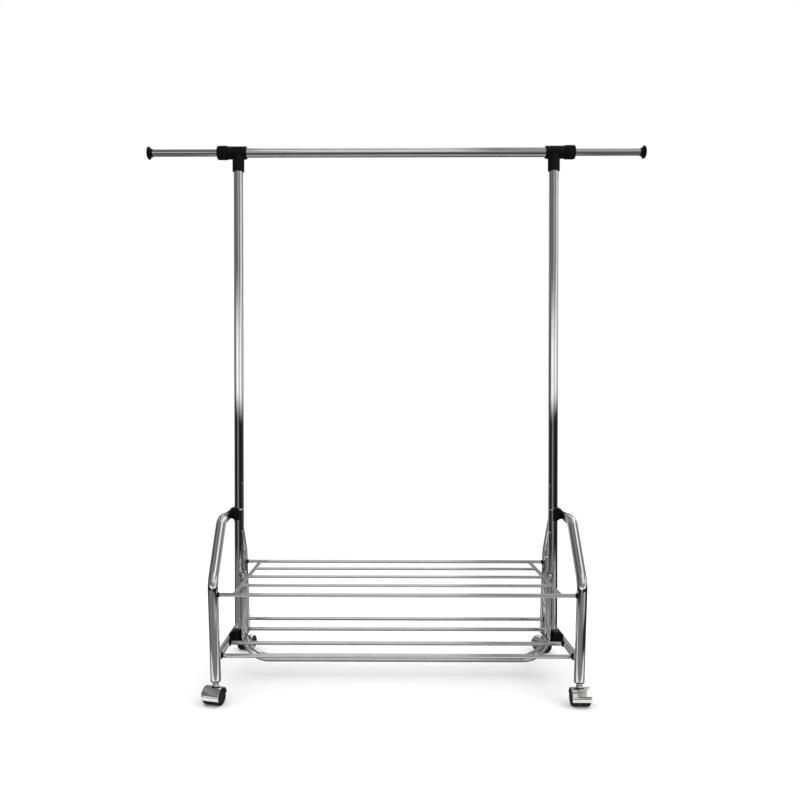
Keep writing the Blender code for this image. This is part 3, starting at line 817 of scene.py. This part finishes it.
def make_tee_rim(side_name):
    """Raised rim round the tee's mouth, where the hanging rail goes in."""
    bore = FRAME_TUBE + RIM_SLACK
    profile = [
        (bore, 0),
        (RIM_RADIUS - 0.6 * MM, -0.4 * MM),
        (RIM_RADIUS, 0.4 * MM),
        (RIM_RADIUS, RIM_WIDTH - 1.4 * MM),
        (RIM_RADIUS - 1.4 * MM, RIM_WIDTH),
        (bore, RIM_WIDTH),
    ]
    mesh = turned_mesh(eased(profile, 0.8 * MM), sharp=50)
    place = facing_out(side_name, reach_x(f"{side_name}_tee")[0], middle("hanging_rail").z)
    add_piece(f"{side_name}_tee_rim", mesh, BLACK, "frame", place=place)


def make_top():
    """Hanging rail, extensions, collars, caps and the tees that carry them."""
    straight("hanging_rail", "hanging_tube", FRAME_TUBE, CHROME)
    for side_name in SIDES:
        straight(f"{side_name}_extension_tube", f"{side_name}_slide_tube", CROSS_TUBE, CHROME)
        make_collar(side_name)
        make_end_cap(side_name)
        moulded(f"{side_name}_tee", voxel=0.8 * MM, passes=8)
        make_tee_rim(side_name)


# ---------------------------------------------------------------- shelves and brace bars


def rod_mesh(start, end, radius):
    """Solid round bar with eased ends between two points."""
    start, end = Vector(start), Vector(end)
    length = (end - start).length
    corner = 0.3 * ROD_EASE
    profile = [
        (0, length),
        (radius - ROD_EASE, length),
        (radius - corner, length - corner),
        (radius, length - ROD_EASE),
        (radius, ROD_EASE),
        (radius - corner, corner),
        (radius - ROD_EASE, 0),
        (0, 0),
    ]
    mesh = turned_mesh(profile, THIN)
    mesh.transform(Matrix.Translation(start) @ along(end - start))
    return mesh


def make_upper_shelf():
    """Front and back rails, and the welded grid of bars and rods between them."""
    for end_name in ENDS:
        node = f"upper_shelf_{end_name}_rail"
        straight(node, f"upper_{end_name}_tube", SHELF_TUBE, SHELF_CHROME, THIN)
    low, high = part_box("upper_shelf_grid")
    z = middle("upper_shelf_grid").z
    bar_x = high.x - SIDE_BAR
    for side_name, side in SIDES.items():
        mesh = rod_mesh((side * bar_x, low.y, z), (side * bar_x, high.y, z), SIDE_BAR)
        stands_for = ["upper_shelf_grid"] if side < 0 else []
        add_piece(f"{side_name}_grid_bar", mesh, SHELF_CHROME, "frame", stands_for)
    rod_end = bar_x - SIDE_BAR + ROD_BITE
    for label, y in zip(("front", "middle", "back"), GRID_ROD_Y):
        mesh = rod_mesh((-rod_end, y, z), (rod_end, y, z), ROD)
        add_piece(f"{label}_grid_rod", mesh, SHELF_CHROME, "frame")
        for side_name, side in SIDES.items():
            weld = ring_mesh(ROD, GRID_WELD_RADIUS)
            weld_x = side * (rod_end - GRID_WELD_RADIUS)
            place = Matrix.Translation((weld_x, y, z)) @ along((side, 0, 0))
            add_piece(f"{label}_{side_name}_grid_weld", weld, SHELF_CHROME, "frame", place=place)


def make_lower_shelf():
    """Four rails between the side frames."""
    for label in ("front", "mid_front", "mid_back", "back"):
        node = f"lower_shelf_{label}_rail"
        straight(node, f"lower_{label}_tube", SHELF_TUBE, SHELF_CHROME, THIN)


def screw_head_mesh():
    """Domed screw head around +Z with a cross recess."""
    arc_steps = 10
    dome = [(0, SCREW_HEIGHT)]
    for step in range(arc_steps - 1, -1, -1):
        angle = math.pi / 2 * step / arc_steps
        dome.append((SCREW_RADIUS * math.cos(angle), SCREW_HEIGHT * math.sin(angle)))
    dome += [(SCREW_RADIUS, -SCREW_HEIGHT), (0, -SCREW_HEIGHT)]
    work = bmesh.new()
    blade = Matrix.Diagonal((SCREW_RADIUS * 1.1, SCREW_RECESS, SCREW_HEIGHT * 1.2, 1))
    for turn in (0, math.pi / 2):
        place = Matrix.Translation((0, 0, SCREW_HEIGHT)) @ Matrix.Rotation(turn, 4, "Z")
        bmesh.ops.create_cube(work, size=1, matrix=place @ blade)
    cutter = new_object("cutter", to_mesh("cross", work))
    settings = {"operation": "DIFFERENCE", "object": cutter, "use_self": True}
    cut = modified(turned_mesh(dome, SMALL, sharp=60), ("BOOLEAN", settings))
    bpy.data.objects.remove(cutter)
    return shade(cut, sharp=40)


def make_brace(end_name):
    """U-shaped bar with its ends turned in to the posts, its washers and its screws."""
    node = f"{end_name}_brace_bar"
    low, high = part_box(node)
    end = ENDS[end_name]
    bottom_z = low.z + BRACE_TUBE
    corner = Vector((BRACE_X, end * BRACE_Y, high.z - BRACE_TUBE))
    to_post = post_point("right", corner.z) - corner
    hook = to_post.length - FRAME_TUBE - BRACE_GAP
    tip = corner + to_post.normalized() * hook
    right_half = [Vector((corner.x, corner.y, bottom_z)), corner, tip]
    left_half = [Vector((-point.x, point.y, point.z)) for point in reversed(right_half)]
    radii = (BRACE_HOOK_RADIUS, BRACE_CORNER_RADIUS, BRACE_CORNER_RADIUS, BRACE_HOOK_RADIUS)
    points = rounded_path(left_half + right_half, radii)
    tube(f"{end_name}_brace_tube", points, BRACE_TUBE, CHROME, "frame", [node], THIN)
    washer_radius = BRACE_TUBE + WASHER_RIM
    washer = [(0, 0), (washer_radius, 0), (washer_radius, WASHER_LENGTH), (0, WASHER_LENGTH)]
    outward = Vector((0, end, 0))
    for side_name, side in SIDES.items():
        label = f"{end_name}_{side_name}"
        from_post = Vector((-side * to_post.x, -to_post.y, 0)).normalized()
        foot = Vector((side * tip.x, tip.y, tip.z)) - from_post * BRACE_GAP
        mesh = turned_mesh(eased(washer, 0.5 * MM), SMALL)
        place = Matrix.Translation(foot) @ along(from_post)
        add_piece(f"{label}_brace_washer", mesh, BLACK, "frame", place=place)
        seat = Vector((side * corner.x, corner.y, corner.z)) + outward * (BRACE_TUBE - SCREW_SINK)
        place = Matrix.Translation(seat) @ along(outward)
        add_piece(f"{label}_brace_screw", screw_head_mesh(), STEEL, "frame", place=place)


# ---------------------------------------------------------------- casters


def arc(centre_z, radius, start, stop, steps):
    """Points of an arc round the axle in the YZ plane, between two angles from +Y."""
    points = []
    for step in range(steps + 1):
        angle = start + (stop - start) * step / steps
        y = radius * math.cos(angle) - AXLE_OFFSET
        points.append((y, centre_z + radius * math.sin(angle)))
    return points


def extruded(outline, half, ease):
    """Closed slab of an outline in the YZ plane, from -half to half in X, edges eased."""
    work = bmesh.new()
    near = [work.verts.new((-half, y, z)) for y, z in outline]
    far = [work.verts.new((half, y, z)) for y, z in outline]
    work.faces.new(near)
    work.faces.new(list(reversed(far)))
    for index in range(len(outline)):
        after = (index + 1) % len(outline)
        work.faces.new((near[index], near[after], far[after], far[index]))
    bmesh.ops.recalc_face_normals(work, faces=work.faces)
    settings = {
        "width": ease,
        "segments": 3,
        "limit_method": "ANGLE",
        "angle_limit": math.radians(40),
    }
    return shade(modified(to_mesh("slab", work), ("BEVEL", settings)), sharp=50)


def hood_mesh(axle_z):
    """Chromed hood: an arched sheet over both wheels with eased rims."""
    drop = math.asin(MOUTH_DROP / HOOD_RADIUS)
    start = MOUTH_TILT - drop
    stop = math.pi + MOUTH_TILT + drop
    outer = arc(axle_z, HOOD_RADIUS, start, stop, HOOD_STEPS)
    inner = arc(axle_z, HOOD_RADIUS - HOOD_WALL, stop, start, HOOD_STEPS)
    return extruded(outer + inner, HOOD_HALF_LENGTH, 0.6 * MM)


def web_mesh(axle_z):
    """Plate in the middle of the hood that carries the axle."""
    radius = HOOD_RADIUS - HOOD_WALL / 2
    reach = math.asin((axle_z - WEB_BOTTOM_Z) / radius)
    outline = arc(axle_z, radius, -reach, math.pi + reach, WEB_STEPS)
    return extruded(outline, WEB_HALF_WIDTH, 0.4 * MM)


def stem_mesh(axle_z):
    """Stem that turns in the leg's insert, on a flared boss that goes into the hood."""
    boss_foot = axle_z + HOOD_RADIUS - BOSS_SINK
    profile = [
        (0, STEM_TOP_Z),
        (STEM_RADIUS - MM, STEM_TOP_Z),
        (STEM_RADIUS, STEM_TOP_Z - MM),
        (STEM_RADIUS, BOSS_TOP_Z + 0.6 * MM),
        (BOSS_RADIUS - 0.6 * MM, BOSS_TOP_Z),
        (BOSS_RADIUS, BOSS_TOP_Z - 0.8 * MM),
        (BOSS_RADIUS, BOSS_TOP_Z - 3 * MM),
        (BOSS_RADIUS + BOSS_FLARE, BOSS_TOP_Z - 6.4 * MM),
        (BOSS_RADIUS + BOSS_FLARE, boss_foot),
        (0, boss_foot),
    ]
    return turned_mesh(eased(profile, 0.5 * MM), ROUND, sharp=40)


def wheel_mesh(tread):
    """Twin wheels on one hub, with grooved treads, rounded shoulders and dished faces."""
    face = WHEEL_HALF_WIDTH
    outer_half = [
        (AXLE_RADIUS + 0.3 * MM, face - 2 * MM),
        (HUB_RADIUS + MM, face - 2 * MM),
        (HUB_RADIUS + 1.4 * MM, face - 2.6 * MM),
        (tread - 8 * MM, face - 2.6 * MM),
        (tread - 6.6 * MM, face - 1.2 * MM),
        (tread - 5.6 * MM, face),
        (tread - 4 * MM, face),
        (tread - 1.2 * MM, face - 1.2 * MM),
        (tread, face - 4 * MM),
        (tread, face - 9.8 * MM),
        (tread - 0.3 * MM, face - 10 * MM),
        (tread, face - 10.2 * MM),
        (tread, WHEEL_SLOT + 0.6 * MM),
        (tread - 0.6 * MM, WHEEL_SLOT),
        (HUB_RADIUS, WHEEL_SLOT),
    ]
    rounded = eased(outer_half, 0.9 * MM)
    inner_half = [(radius, -height) for radius, height in reversed(rounded)]
    return turned_mesh(rounded + inner_half, sharp=40)


def hub_cap_mesh(tread):
    """Shallow disc with a raised ring and a centre boss, on the outer face of a wheel."""
    face = WHEEL_HALF_WIDTH
    profile = [
        (0, face - 0.2 * MM),
        (3.2 * MM, face - 0.2 * MM),
        (3.8 * MM, face - 1.2 * MM),
        (7.0 * MM, face - 1.4 * MM),
        (8.2 * MM, face - 0.5 * MM),
        (9.4 * MM, face - 0.5 * MM),
        (10.2 * MM, face - 1.6 * MM),
        (tread - 6.4 * MM, face - 1.6 * MM),
        (tread - 6.2 * MM, face - 2.6 * MM),
        (0, face - HUB_CAP_DEPTH),
    ]
    return turned_mesh(eased(profile, 0.5 * MM), sharp=40)


def axle_pin_mesh():
    """Pin through both wheels, from one hub cap to the other."""
    end = WHEEL_HALF_WIDTH - HUB_CAP_DEPTH
    profile = [(0, end), (AXLE_RADIUS, end), (AXLE_RADIUS, -end), (0, -end)]
    return turned_mesh(eased(profile, 0.4 * MM), SMALL)


def make_caster(label):
    """One caster: hood, web, stem, twin wheels with hub caps, axle, and insert in the leg."""
    roll = next(joint for joint in frame["joints"] if joint["name"] == f"{label}_roll")
    turn = math.atan2(roll["axis"][1], roll["axis"][0])
    foot = middle(f"{label}_leg_insert")
    # The wheels stand on the floor, so the height of the axle is the radius of their treads.
    axle_z = middle(f"{label}_caster_wheel").z
    place = Matrix.Translation((foot.x, foot.y, 0)) @ Matrix.Rotation(turn, 4, "Z")
    carrier, wheels = f"{label}_caster", f"{label}_wheels"
    node = [f"{label}_caster_housing"]
    add_piece(f"{label}_hood", hood_mesh(axle_z), HOOD_CHROME, carrier, node, place)
    add_piece(f"{label}_hood_web", web_mesh(axle_z), BLACK, carrier, place=place)
    add_piece(f"{label}_stem", stem_mesh(axle_z), HOOD_CHROME, carrier, place=place)
    axle_place = place @ Matrix.Translation((0, -AXLE_OFFSET, axle_z)) @ along((1, 0, 0))
    node = [f"{label}_caster_wheel"]
    add_piece(f"{label}_twin_wheel", wheel_mesh(axle_z), TYRE, wheels, node, axle_place)
    for tag, flip in (("right", 0), ("left", math.pi)):
        hub_cap = hub_cap_mesh(axle_z)
        cap_place = axle_place @ Matrix.Rotation(flip, 4, "X")
        add_piece(f"{label}_{tag}_hub_cap", hub_cap, HUB_PLASTIC, wheels, place=cap_place)
    node = [f"{label}_caster_axle"]
    add_piece(f"{label}_axle_pin", axle_pin_mesh(), STEEL, wheels, node, axle_place)
    moulded(f"{label}_leg_insert", voxel=0.7 * MM, passes=4)


# ---------------------------------------------------------------- stage


# The floor is paper near the rack, and over its fade's distances it turns to plain white.
FLOOR_RADIUS = 7.0
FLOOR_FADE = (1.1, 2.6)
FLOOR_PAPER = (0.93, 0.93, 0.93, 1)

# The card that gives the floor's reflection lies just under the floor and fades out at its rim.
CARD_RADIUS = 0.95
CARD_FADE = (0.8, CARD_RADIUS)
CARD_DROP = 0.5 * MM
# Its brightness by distance in front of the middle and behind it: two bright strips.
CARD_STRIPS = [(0.0, 0.16), (0.235, 0.17), (0.25, 0.95), (0.37, 0.95), (0.42, 0.22), (1, 0.2)]


def add_disc(name, radius, material):
    """Flat round stage piece on the floor."""
    work = bmesh.new()
    bmesh.ops.create_circle(work, cap_ends=True, segments=96, radius=radius)
    disc = new_object(name, to_mesh(name, work))
    disc.data.materials.append(material)
    return disc


def make_floor():
    """Pale floor that fades into the pale surroundings far from the rack."""
    material, graph = new_material("floor_paper")
    paper = graph.add("ShaderNodeBsdfDiffuse")
    paper.inputs["Color"].default_value = FLOOR_PAPER
    glow = graph.add("ShaderNodeEmission")
    far = graph.fade(graph.distance(), *FLOOR_FADE)
    graph.show_mix(far, paper, glow, "ShaderNodeOutputMaterial")
    floor = add_disc("floor", FLOOR_RADIUS, material)
    floor.visible_glossy = False


def make_reflector():
    """Card that only reflections see, with a bright strip in front of the feet and behind them."""
    material, graph = new_material("reflector_card")
    place = graph.add("ShaderNodeTexCoord")
    axes = graph.add("ShaderNodeSeparateXYZ")
    graph.link(place.outputs["Object"], axes.inputs[0])
    depth = graph.calculate("ABSOLUTE", axes.outputs["Y"])
    glow = graph.add("ShaderNodeEmission")
    graph.link(graph.ramp(depth, CARD_STRIPS), glow.inputs["Color"])
    clear = graph.add("ShaderNodeBsdfTransparent")
    rim = graph.fade(graph.distance(), *CARD_FADE)
    graph.show_mix(rim, glow, clear, "ShaderNodeOutputMaterial")
    card = add_disc("floor_reflector", CARD_RADIUS, material)
    card.location.z = -CARD_DROP
    card.visible_camera = False
    card.visible_diffuse = False
    card.visible_shadow = False


def around(stops):
    """Ramp stops from (degrees round from the front towards +X, brightness)."""
    return [((degrees + 180) / 360, value) for degrees, value in stops]


# What stands round the rack in the studio, from high to low: brightness by direction.
HIGH_WALL = around(
    [(-180, 0.22), (-150, 0.4), (-126, 0.19), (-85, 0.15), (-40, 0.16), (-12, 0.17), (-8, 0.22),
     (-5, 0.62), (4, 0.7), (7, 0.4), (10, 0.18), (26, 0.16), (44, 0.4), (62, 0.7), (74, 0.95),
     (92, 0.95), (102, 0.25), (112, 0.16), (130, 0.35), (150, 0.5), (180, 0.22)]
)
EYE_LEVEL = around(
    [(-180, 0.2), (-150, 0.4), (-120, 0.04), (-84, 0.12), (-64, 0.4), (-50, 1.15), (-20, 1.15),
     (2, 0.9), (20, 0.5), (44, 1.2), (64, 1.25), (80, 0.4), (100, 0.45), (150, 0.5), (180, 0.2)]
)
LOW_WALL = around(
    [(-180, 0.3), (-160, 0.6), (-146, 0.6), (-122, 0.03), (-60, 0.012), (-36, 0.05), (-22, 0.3),
     (-8, 0.2), (4, 0.05), (18, 0.02), (62, 0.012), (100, 0.03), (138, 0.12), (160, 0.5),
     (180, 0.3)]
)
FAR_FLOOR = around(
    [(-180, 0.12), (-160, 0.05), (-112, 0.04), (-90, 0.14), (-60, 0.2), (-20, 0.2), (10, 0.2),
     (24, 0.2), (34, 0.5), (56, 0.55), (64, 0.1), (76, 0.03), (150, 0.03), (180, 0.12)]
)
NEAR_FLOOR = around(
    [(-180, 0.12), (-160, 0.05), (-112, 0.04), (-90, 0.14), (-60, 0.2), (-20, 0.2), (10, 0.2),
     (26, 0.17), (40, 0.04), (60, 0.02), (150, 0.03), (180, 0.12)]
)
# Every edge below is a pair of elevations, in degrees: where what it brings in has no effect
# yet, and where that is whole. The bands come in over the near floor, from low to high.
BANDS = [
    (-15.5, -14.0, FAR_FLOOR),
    (-11.5, -9.5, LOW_WALL),
    (-1.0, 1.4, EYE_LEVEL),
    (3.5, 10.0, HIGH_WALL),
]
# Under the rack: brightness over a span of elevations, from straight down.
UNDER = [(0.0, 0.17), (0.45, 0.15), (0.62, 0.05), (1.0, 0.04)]
UNDER_SPAN = (-90, -25)
UNDER_EDGE = (-24, -32)
# Ceiling panels run from front to back: brightness across, from -X to +X.
CEILING = [
    (0.0, 0.03), (0.08, 0.05), (0.2, 0.3), (0.33, 0.2), (0.37, 0.15), (0.41, 0.16), (0.43, 0.8),
    (0.54, 0.8), (0.565, 0.3), (0.6, 0.45), (0.66, 0.5), (0.69, 1.25), (0.8, 1.25), (0.84, 0.45),
    (0.9, 0.3), (1.0, 0.2),
]
CEILING_EDGE = (19, 24)
# The part of the ceiling in front of the zenith, where the middle panel is unlit. Its last pair
# is how far to the front a direction points, as a share.
OVERHEAD = [
    (0.0, 0.03), (0.1, 0.05), (0.25, 0.2), (0.4, 0.16), (0.5, 0.17), (0.66, 0.4), (0.69, 1.25),
    (0.8, 1.25), (0.84, 0.45), (0.9, 0.3), (1.0, 0.2),
]
OVERHEAD_LOW_EDGE = (57, 63)
OVERHEAD_HIGH_EDGE = (82, 74)
OVERHEAD_FRONT = (-0.05, 0.1)


def make_world():
    """Pale surroundings, and the darker studio that the chrome reflects."""
    world = bpy.data.worlds.new("studio")
    bpy.context.scene.world = world
    world.use_nodes = True
    graph = Graph(world.node_tree)
    place = graph.add("ShaderNodeTexCoord")
    axes = graph.add("ShaderNodeSeparateXYZ")
    graph.link(place.outputs["Generated"], axes.inputs[0])
    x, y, z = axes.outputs
    front = graph.calculate("MULTIPLY", y, -1.0)
    azimuth = graph.calculate("ARCTAN2", x, front)
    turn = graph.calculate("ADD", graph.calculate("DIVIDE", azimuth, 2 * math.pi), 0.5)
    height = graph.calculate("MULTIPLY", graph.calculate("ARCSINE", z), 180 / math.pi)
    colour = graph.ramp(turn, NEAR_FLOOR)
    for start, whole, stops in BANDS:
        band = graph.ramp(turn, stops)
        colour = graph.mix(graph.fade(height, start, whole), colour, band)
    across = graph.remap(x, -1, 1)
    low_edge = graph.fade(height, *OVERHEAD_LOW_EDGE)
    high_edge = graph.fade(height, *OVERHEAD_HIGH_EDGE)
    unlit = graph.calculate("MULTIPLY", low_edge, high_edge)
    unlit = graph.calculate("MULTIPLY", unlit, graph.remap(front, *OVERHEAD_FRONT))
    ceiling = graph.mix(unlit, graph.ramp(across, CEILING), graph.ramp(across, OVERHEAD))
    colour = graph.mix(graph.fade(height, *CEILING_EDGE), colour, ceiling)
    under = graph.ramp(graph.remap(height, *UNDER_SPAN), UNDER)
    colour = graph.mix(graph.fade(height, *UNDER_EDGE), colour, under)
    studio = graph.add("ShaderNodeBackground")
    graph.link(colour, studio.inputs["Color"])
    paper = graph.add("ShaderNodeBackground")
    paper.inputs["Color"].default_value = (1, 1, 1, 1)
    rays = graph.add("ShaderNodeLightPath")
    graph.show_mix(rays.outputs["Is Camera Ray"], studio, paper, "ShaderNodeOutputWorld")


SUN_STRENGTH = 2.6
SUN_SPREAD = math.radians(120)
SUN_LEAN = (math.radians(12), math.radians(-8), 0)


def make_light():
    """One very soft light from above, which the chrome doesn't show."""
    data = bpy.data.lights.new("overhead", "SUN")
    data.energy = SUN_STRENGTH
    data.angle = SUN_SPREAD
    lamp = new_object("overhead", data)
    lamp.rotation_euler = SUN_LEAN
    lamp.visible_glossy = False


# Angles are in radians, the lens and the sensor in millimetres.
CAMERA_PLACE = Vector((-0.0339, -2.16278, 0.71437))
CAMERA_YAW = -0.0085989
CAMERA_PITCH = 0.0092419
CAMERA_ROLL = 0.0004655
CAMERA_LENS = 36.27
CAMERA_SENSOR = 36
CAMERA_SHIFT = 0.0297
CAMERA_RANGE = (0.05, 60)


def make_camera():
    """Nearly level camera in front of the rack, at mid height."""
    data = bpy.data.cameras.new("camera")
    camera = new_object("camera", data)
    data.sensor_width = CAMERA_SENSOR
    data.lens = CAMERA_LENS
    data.shift_x = CAMERA_SHIFT
    data.clip_start, data.clip_end = CAMERA_RANGE
    ahead = Vector(
        (
            math.sin(CAMERA_YAW) * math.cos(CAMERA_PITCH),
            math.cos(CAMERA_YAW) * math.cos(CAMERA_PITCH),
            math.sin(CAMERA_PITCH),
        )
    )
    flat = Vector((math.cos(CAMERA_YAW), -math.sin(CAMERA_YAW), 0))
    rise = flat.cross(ahead)
    right = math.cos(CAMERA_ROLL) * flat + math.sin(CAMERA_ROLL) * rise
    up = math.cos(CAMERA_ROLL) * rise - math.sin(CAMERA_ROLL) * flat
    place = Matrix((right, up, -ahead)).transposed().to_4x4()
    place.translation = CAMERA_PLACE
    camera.matrix_world = place
    bpy.context.scene.camera = camera


# ---------------------------------------------------------------- assembly


def main():
    """Make every piece of the rack, then the stage, the light and the camera."""
    for side_name in SIDES:
        make_side_frame(side_name)
        make_post(side_name)
        moulded(f"{side_name}_upper_connector", voxel=0.8 * MM, passes=8)
        moulded(f"{side_name}_foot_socket", voxel=0.8 * MM, passes=6)
    make_top()
    make_upper_shelf()
    make_lower_shelf()
    for end_name in ENDS:
        make_brace(end_name)
        for side_name in SIDES:
            make_caster(f"{end_name}_{side_name}")
    for node in sorted(frame["nodes"]):
        if node.endswith("_plug"):
            moulded(node, voxel=0.5 * MM, passes=4)
    make_world()
    make_floor()
    make_reflector()
    make_light()
    make_camera()
    bpy.context.scene.view_settings.view_transform = "Standard"


main()
